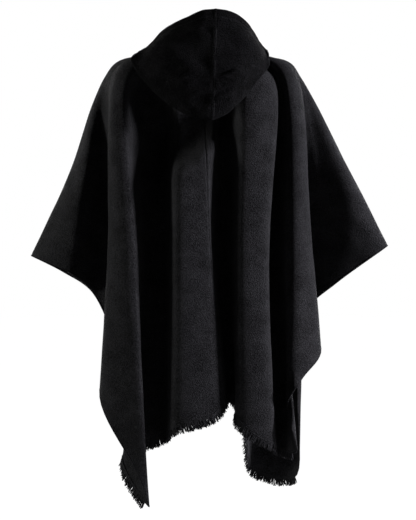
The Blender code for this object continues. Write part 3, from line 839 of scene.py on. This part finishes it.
def makeHoodHalf(name, table, tree, panelTree):
    size = hoodRelief
    grid = hoodGrid(table, tree)
    grid = curveThrough(grid, hood["finerDown"])
    grid = np.moveaxis(curveThrough(np.moveaxis(grid, 1, 0), hood["finerAcross"]), 0, 1)
    seamFirst = table is hoodLeftLines
    grid = insertNear(grid, cloth["seamLines"], 1, not seamFirst)
    normals = gridNormals(grid)
    places = clothPlaces(grid)
    down = np.arange(len(grid)) / len(grid)
    outer = smoothStep((down - size["outerFrom"]) / size["outerOver"])[:, None]
    relief = outer * creaseRelief(grid, -normals, hoodCreases)
    for depth, stretch, seed in size["ripples"]:
        relief += depth * softNoise(grid, stretch, seed) * outer
    across = places[0, :, 0]
    fromSeam = across if seamFirst else across[-1] - across
    relief *= smoothStep(fromSeam / size["calmBeside"])[None, :]
    band = bell(fromSeam, size["ridgeWidth"])
    band = band - size["grooveShare"] * bell(fromSeam, size["grooveWidth"])
    relief += size["ridge"] * band[None, :] * outer
    up = places[..., 1]
    for height in size["stitchedAt"]:
        relief -= size["stitchDepth"] * bell(up - height, size["stitchWidth"]) * outer
    grid = grid - normals * relief[..., None]
    for row in range(1, len(grid)):
        clear = hood["standOff"] if row > hood["seatRows"] else hood["seatOff"]
        for column in range(grid.shape[1]):
            grid[row, column] += shortfall(grid[row, column], panelTree, clear,
                                           hood["standReach"])
    normals = gridNormals(grid)
    normals[:, (0, -1), 0] = 0.0        # so that the walls of both halves meet face to face
    normals = unit(normals)
    hemStep = smoothStep((size["hemBand"] - up) / size["hemStep"])
    thickness = cloth["wall"] + (hood["hemWall"] - cloth["wall"]) * hemStep
    # the hood's wool is the panels' wool made darker: painted shade
    piece = clothWall(name, grid, normals, thickness, places, hood["rim"],
                      materials["hoodWoolPaintedShade"])
    return piece, grid, normals, places


solidTree = surfaceTree(solidRing)
panelTree = surfaceTree(np.concatenate((gridLeft, gridRight), axis=1))
hoodLeft, *hoodClothLeft = makeHoodHalf("hoodLeft", hoodLeftLines, solidTree, panelTree)
hoodRight, *hoodClothRight = makeHoodHalf("hoodRight", hoodRightLines, solidTree, panelTree)
print("hood sewn:", len(hoodLeft.data.polygons) + len(hoodRight.data.polygons), "faces")


# Paths on the cloth, and the node trees that repeat something along them

def pathMesh(name, lines, outs, ways):
    # open lines of points with the cloth's outward side and the way on, for the trees
    points = np.concatenate(lines)
    edges, first = [], 0
    for line in lines:
        edges += [(first + step, first + step + 1) for step in range(len(line) - 1)]
        first += len(line)
    mesh = bpy.data.meshes.new(name)
    mesh.from_pydata(points.tolist(), edges, [])
    for label, values in (("outSide", outs), ("wayOn", ways)):
        layer = mesh.attributes.new(label, "FLOAT_VECTOR", "POINT")
        layer.data.foreach_set("vector", np.concatenate(values).astype(np.float32).ravel())
    return mesh


def growAlong(name, path, tree, sizes, seed, material):
    # runs a tree on a path and keeps the result as a plain mesh
    item = addObject(name + "Path", path)
    modifier = item.modifiers.new(name, "NODES")
    modifier.node_group = tree
    given = {**sizes, "Seed": seed, "Material": material}
    for socket in tree.interface.items_tree:
        if socket.in_out == "INPUT" and socket.name in given:
            modifier[socket.identifier] = given[socket.name]
    graph = bpy.context.evaluated_depsgraph_get()
    mesh = bpy.data.meshes.new_from_object(item.evaluated_get(graph), depsgraph=graph)
    mesh.name = name
    bpy.data.objects.remove(item, do_unlink=True)
    return addObject(name, mesh)


def newPathTree(name, sizes):
    # a tree with the path, its sizes, a seed and a material to be given
    return newTree(name, "GeometryNodeTree", (
        ("Geometry", "Geometry"), *((label, "Float", value) for label, value in sizes),
        ("Seed", "Int", 1), ("Material", "Material")), (("Geometry", "Geometry"),))


def spacedAlong(tree, given, primary, secondary):
    # points at even steps along the path, and the turn that lays Z and X along two directions
    curve = addNode(tree, "GeometryNodeMeshToCurve", {"Mesh": given["Geometry"]})
    spaced = addNode(tree, "GeometryNodeResampleCurve",
                     {"Curve": curve, "Length": given["Pitch"]}, mode="LENGTH")
    ways = {axis: addNode(tree, "GeometryNodeInputNamedAttribute", {"Name": label},
                          data_type="FLOAT_VECTOR")
            for axis, label in (("Primary Axis", primary), ("Secondary Axis", secondary))}
    turn = addNode(tree, "FunctionNodeAxesToRotation", ways,
                   primary_axis="Z", secondary_axis="X")
    return spaced, turn


def randomBetween(tree, least, most, seed, kind="FLOAT"):
    return addNode(tree, "FunctionNodeRandomValue",
                   {"Min": least, "Max": most, "Seed": seed}, data_type=kind)


def realPieces(tree, points, piece, turn, size):
    placed = addNode(tree, "GeometryNodeInstanceOnPoints", {
        "Points": points, "Instance": piece, "Rotation": turn, "Scale": size})
    return addNode(tree, "GeometryNodeRealizeInstances", {"Geometry": placed})


def finishTree(tree, given, result, geometry):
    smooth = addNode(tree, "GeometryNodeSetShadeSmooth", {"Geometry": geometry})
    painted = addNode(tree, "GeometryNodeSetMaterial",
                      {"Geometry": smooth, "Material": given["Material"]})
    tree.links.new(painted, result["Geometry"])
    return tree


# Fringe along the hems: the last row of cloth between two fold lines

fringe = {
    "Pitch": 0.0013, "Length": 0.0225, "Radius": 0.00125, "Bend": 0.0026,
    "above": 0.003, "apart": 0.0007,    # roots above the edge, either side of the middle
    "inset": 2,                         # grid columns from a corner to the first strand
    "leanLeast": (-0.14, -0.24, 0.0), "leanMost": (0.20, 0.24, 6.28),
    "shortest": 0.80, "longest": 1.08,  # shares of the length
    "root": -0.12, "tip": 0.62,         # starts in the cloth; how thick it ends
    "rings": 7, "sides": 5,
    "waveScale": 95.0, "waveReach": 3.0,
    "evenRounds": 12, "hang": 0.35,     # how evenly, and how much straight down, it hangs
}


def makeFringeTree():
    # strands of yarn that hang from the hem, tapered, bent and of uneven length
    tree, given, result = newPathTree("hemFringe", (
        ("Pitch", 0.002), ("Length", 0.022), ("Radius", 0.0008), ("Bend", 0.005)))
    spaced, turn = spacedAlong(tree, given, "wayOn", "outSide")
    lean = randomBetween(tree, fringe["leanLeast"], fringe["leanMost"], given["Seed"],
                         "FLOAT_VECTOR")
    leaning = addNode(tree, "FunctionNodeEulerToRotation", {"Euler": lean})
    turned = addNode(tree, "FunctionNodeRotateRotation",
                     {"Rotation": turn, "Rotate By": leaning}, rotation_space="LOCAL")
    line = addNode(tree, "GeometryNodeCurvePrimitiveLine",
                   {"Start": (0.0, 0.0, fringe["root"]), "End": (0.0, 0.0, 1.0)}, mode="POINTS")
    strand = addNode(tree, "GeometryNodeResampleCurve",
                     {"Curve": line, "Count": fringe["rings"]})
    share = addNode(tree, "GeometryNodeSplineParameter", output="Factor")
    thin = addNode(tree, "ShaderNodeMapRange", {
        "Value": share, "From Min": 0.0, "From Max": 1.0, "To Min": 1.0,
        "To Max": fringe["tip"]})
    marked = addNode(tree, "GeometryNodeStoreNamedAttribute",
                     {"Geometry": strand, "Name": "tip", "Value": share},
                     data_type="FLOAT", domain="POINT")
    ring = addNode(tree, "GeometryNodeCurvePrimitiveCircle",
                   {"Resolution": fringe["sides"], "Radius": 1.0}, mode="RADIUS")
    tube = addNode(tree, "GeometryNodeCurveToMesh", {
        "Curve": marked, "Profile Curve": ring, "Scale": thin, "Fill Caps": True})
    vary = randomBetween(tree, fringe["shortest"], fringe["longest"], given["Seed"])
    tall = addMath(tree, "MULTIPLY", given["Length"], vary)
    size = addNode(tree, "ShaderNodeCombineXYZ", (given["Radius"], given["Radius"], tall))
    real = realPieces(tree, spaced, tube, turned, size)
    tip = addNode(tree, "GeometryNodeInputNamedAttribute", {"Name": "tip"}, data_type="FLOAT")
    wave = addNode(tree, "ShaderNodeTexNoise",
                   {"Scale": fringe["waveScale"], "Detail": 1.0}, "Color")
    centred = addNode(tree, "ShaderNodeVectorMath", (wave, (0.5, 0.5, 0.5)),
                      operation="SUBTRACT")
    reach = addMath(tree, "MULTIPLY", addMath(tree, "MULTIPLY", tip, given["Bend"]),
                    fringe["waveReach"])
    offset = addNode(tree, "ShaderNodeVectorMath", (centred, reach), operation="SCALE")
    bent = addNode(tree, "GeometryNodeSetPosition", {"Geometry": real, "Offset": offset})
    return finishTree(tree, given, result, bent)


def columnOf(table, name):
    return cloth["across"] * foldLines.index(next(row for row in table if row[0] == name))


hems = (
    ("fringeBackLeft", "fringe_back_left",
     0, columnOf(backLeft, "corner fold right") - fringe["inset"]),
    ("fringeFrontLeft", "fringe_front_left",
     columnOf(frontLeft, "corner fold right") + fringe["inset"], seamAt),
    ("fringeFrontRight", "fringe_front_right",
     seamAt, columnOf(frontRight, "corner fold right") - fringe["inset"]),
    ("fringeBackRight", "fringe_back_right",
     columnOf(backRight, "side tuck") + fringe["inset"], fineRing.shape[1] - 1),
)


def makeFringes():
    tree = makeFringeTree()
    edge = fineRing[-1, :-1]
    normals = gridNormals(fineRing)[-1, :-1]
    down = unit(np.cross(normals, np.roll(edge, -1, axis=0) - np.roll(edge, 1, axis=0)))
    for _ in range(fringe["evenRounds"]):
        down = unit(down + np.roll(down, 1, axis=0) + np.roll(down, -1, axis=0))
    down = unit(down - np.array((0.0, 0.0, fringe["hang"])))
    edge, normals, down = (np.concatenate((row, row[:1])) for row in (edge, normals, down))
    pieces = []
    for seed, (name, node, start, end) in enumerate(hems, 11):
        part = slice(start, end + 1)
        line = edge[part] - down[part] * fringe["above"]
        lines = [line + side * fringe["apart"] * normals[part] for side in (-1, 1)]
        path = pathMesh(name + "Line", lines, [normals[part]] * 2, [down[part]] * 2)
        pieces.append((growAlong(name, path, tree, fringe, seed, materials["fringeYarn"]),
                       node))
    return pieces


fringes = makeFringes()
print("fringe knotted:", sum(len(piece.data.polygons) for piece, _ in fringes), "faces")


# Stitches: two rows on the hood's hem, and one on each side of the seams

stitches = {
    "Pitch": 0.0046, "Length": 0.0034, "Width": 0.0010,
    "least": 0.85, "most": 1.12,        # shares of the size
    "sides": 6, "rings": 4,
    "sink": 0.0002,                     # into the cloth
    "besideSeam": 4,                    # grid columns from a seam to its stitches
    "ends": 2,                          # grid rows left bare at a seam's ends
}


def makeStitchTree():
    # flattened beads of thread along the path, each lying along it
    tree, given, result = newPathTree("stitchRow", (
        ("Pitch", 0.004), ("Length", 0.003), ("Width", 0.0008)))
    spaced, turn = spacedAlong(tree, given, "outSide", "wayOn")
    bead = addNode(tree, "GeometryNodeMeshUVSphere", {
        "Segments": stitches["sides"], "Rings": stitches["rings"], "Radius": 0.5})
    size = addNode(tree, "ShaderNodeCombineXYZ",
                   (given["Length"], given["Width"], given["Width"]))
    vary = randomBetween(tree, stitches["least"], stitches["most"], given["Seed"])
    sized = addNode(tree, "ShaderNodeVectorMath", (size, vary), operation="SCALE")
    real = realPieces(tree, spaced, bead, turn, sized)
    return finishTree(tree, given, result, real)


def rowAtHeight(grid, normals, places, height):
    # where a line at one height above the edge crosses each column
    found = []
    for values in (grid, normals):
        found.append(np.array([
            [np.interp(height, places[::-1, column, 1], values[::-1, column, axis])
             for axis in range(3)] for column in range(grid.shape[1])]))
    return found[0], unit(found[1])


def sew(name, rows, thickness, sides, seed):
    # stitches along rows of points with their normals, on these sides of the cloth
    lines, outs, ways = [], [], []
    for points, normals in rows:
        for side in sides:
            line = points + side * normals * (thickness / 2 - stitches["sink"])
            lines.append(line)
            outs.append(side * normals)
            ways.append(unit(np.gradient(line, axis=0)))
    path = pathMesh(name + "Line", lines, outs, ways)
    return growAlong(name, path, stitchTree, stitches, seed, materials["seamThread"])


def makeStitches():
    made = []
    for name, node, sewn in (("hoodHemStitchesLeft", "hood_left", hoodClothLeft),
                             ("hoodHemStitchesRight", "hood_right", hoodClothRight)):
        rows = [rowAtHeight(*sewn, height) for height in hoodRelief["stitchedAt"]]
        made.append((sew(name, rows, hood["hemWall"], (-1, 1), 31), node))
    first, last = stitches["besideSeam"], -1 - stitches["besideSeam"]
    part = slice(stitches["ends"], -stitches["ends"])
    for name, node, grid, normals, columns, side in (
            ("hoodSeamStitchesLeft", "hood_left", *hoodClothLeft[:2], (first,), -1),
            ("hoodSeamStitchesRight", "hood_right", *hoodClothRight[:2], (last,), -1),
            ("panelSeamStitchesLeft", "panel_left", gridLeft, normalsLeft, (first, last), 1),
            ("panelSeamStitchesRight", "panel_right", gridRight, normalsRight,
             (first, last), 1)):
        rows = [(grid[part, column], normals[part, column]) for column in columns]
        made.append((sew(name, rows, cloth["wall"], (side,), 37), node))
    return made


stitchTree = makeStitchTree()
sewing = makeStitches()
print("stitched:", sum(len(piece.data.polygons) for piece, _ in sewing), "faces")


# What rides on what, and the parts of the frame that the cloth and the fringe hide

clothPieces = ((panelLeft, "panel_left"), (panelRight, "panel_right"),
               (hoodLeft, "hood_left"), (hoodRight, "hood_right"))
for pieces, slot in ((clothPieces, "cloth"), (fringes, "fringe"), (sewing, "cloth")):
    for piece, node in pieces:
        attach(piece, "root")
        if pieces is not sewing:
            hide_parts(node)
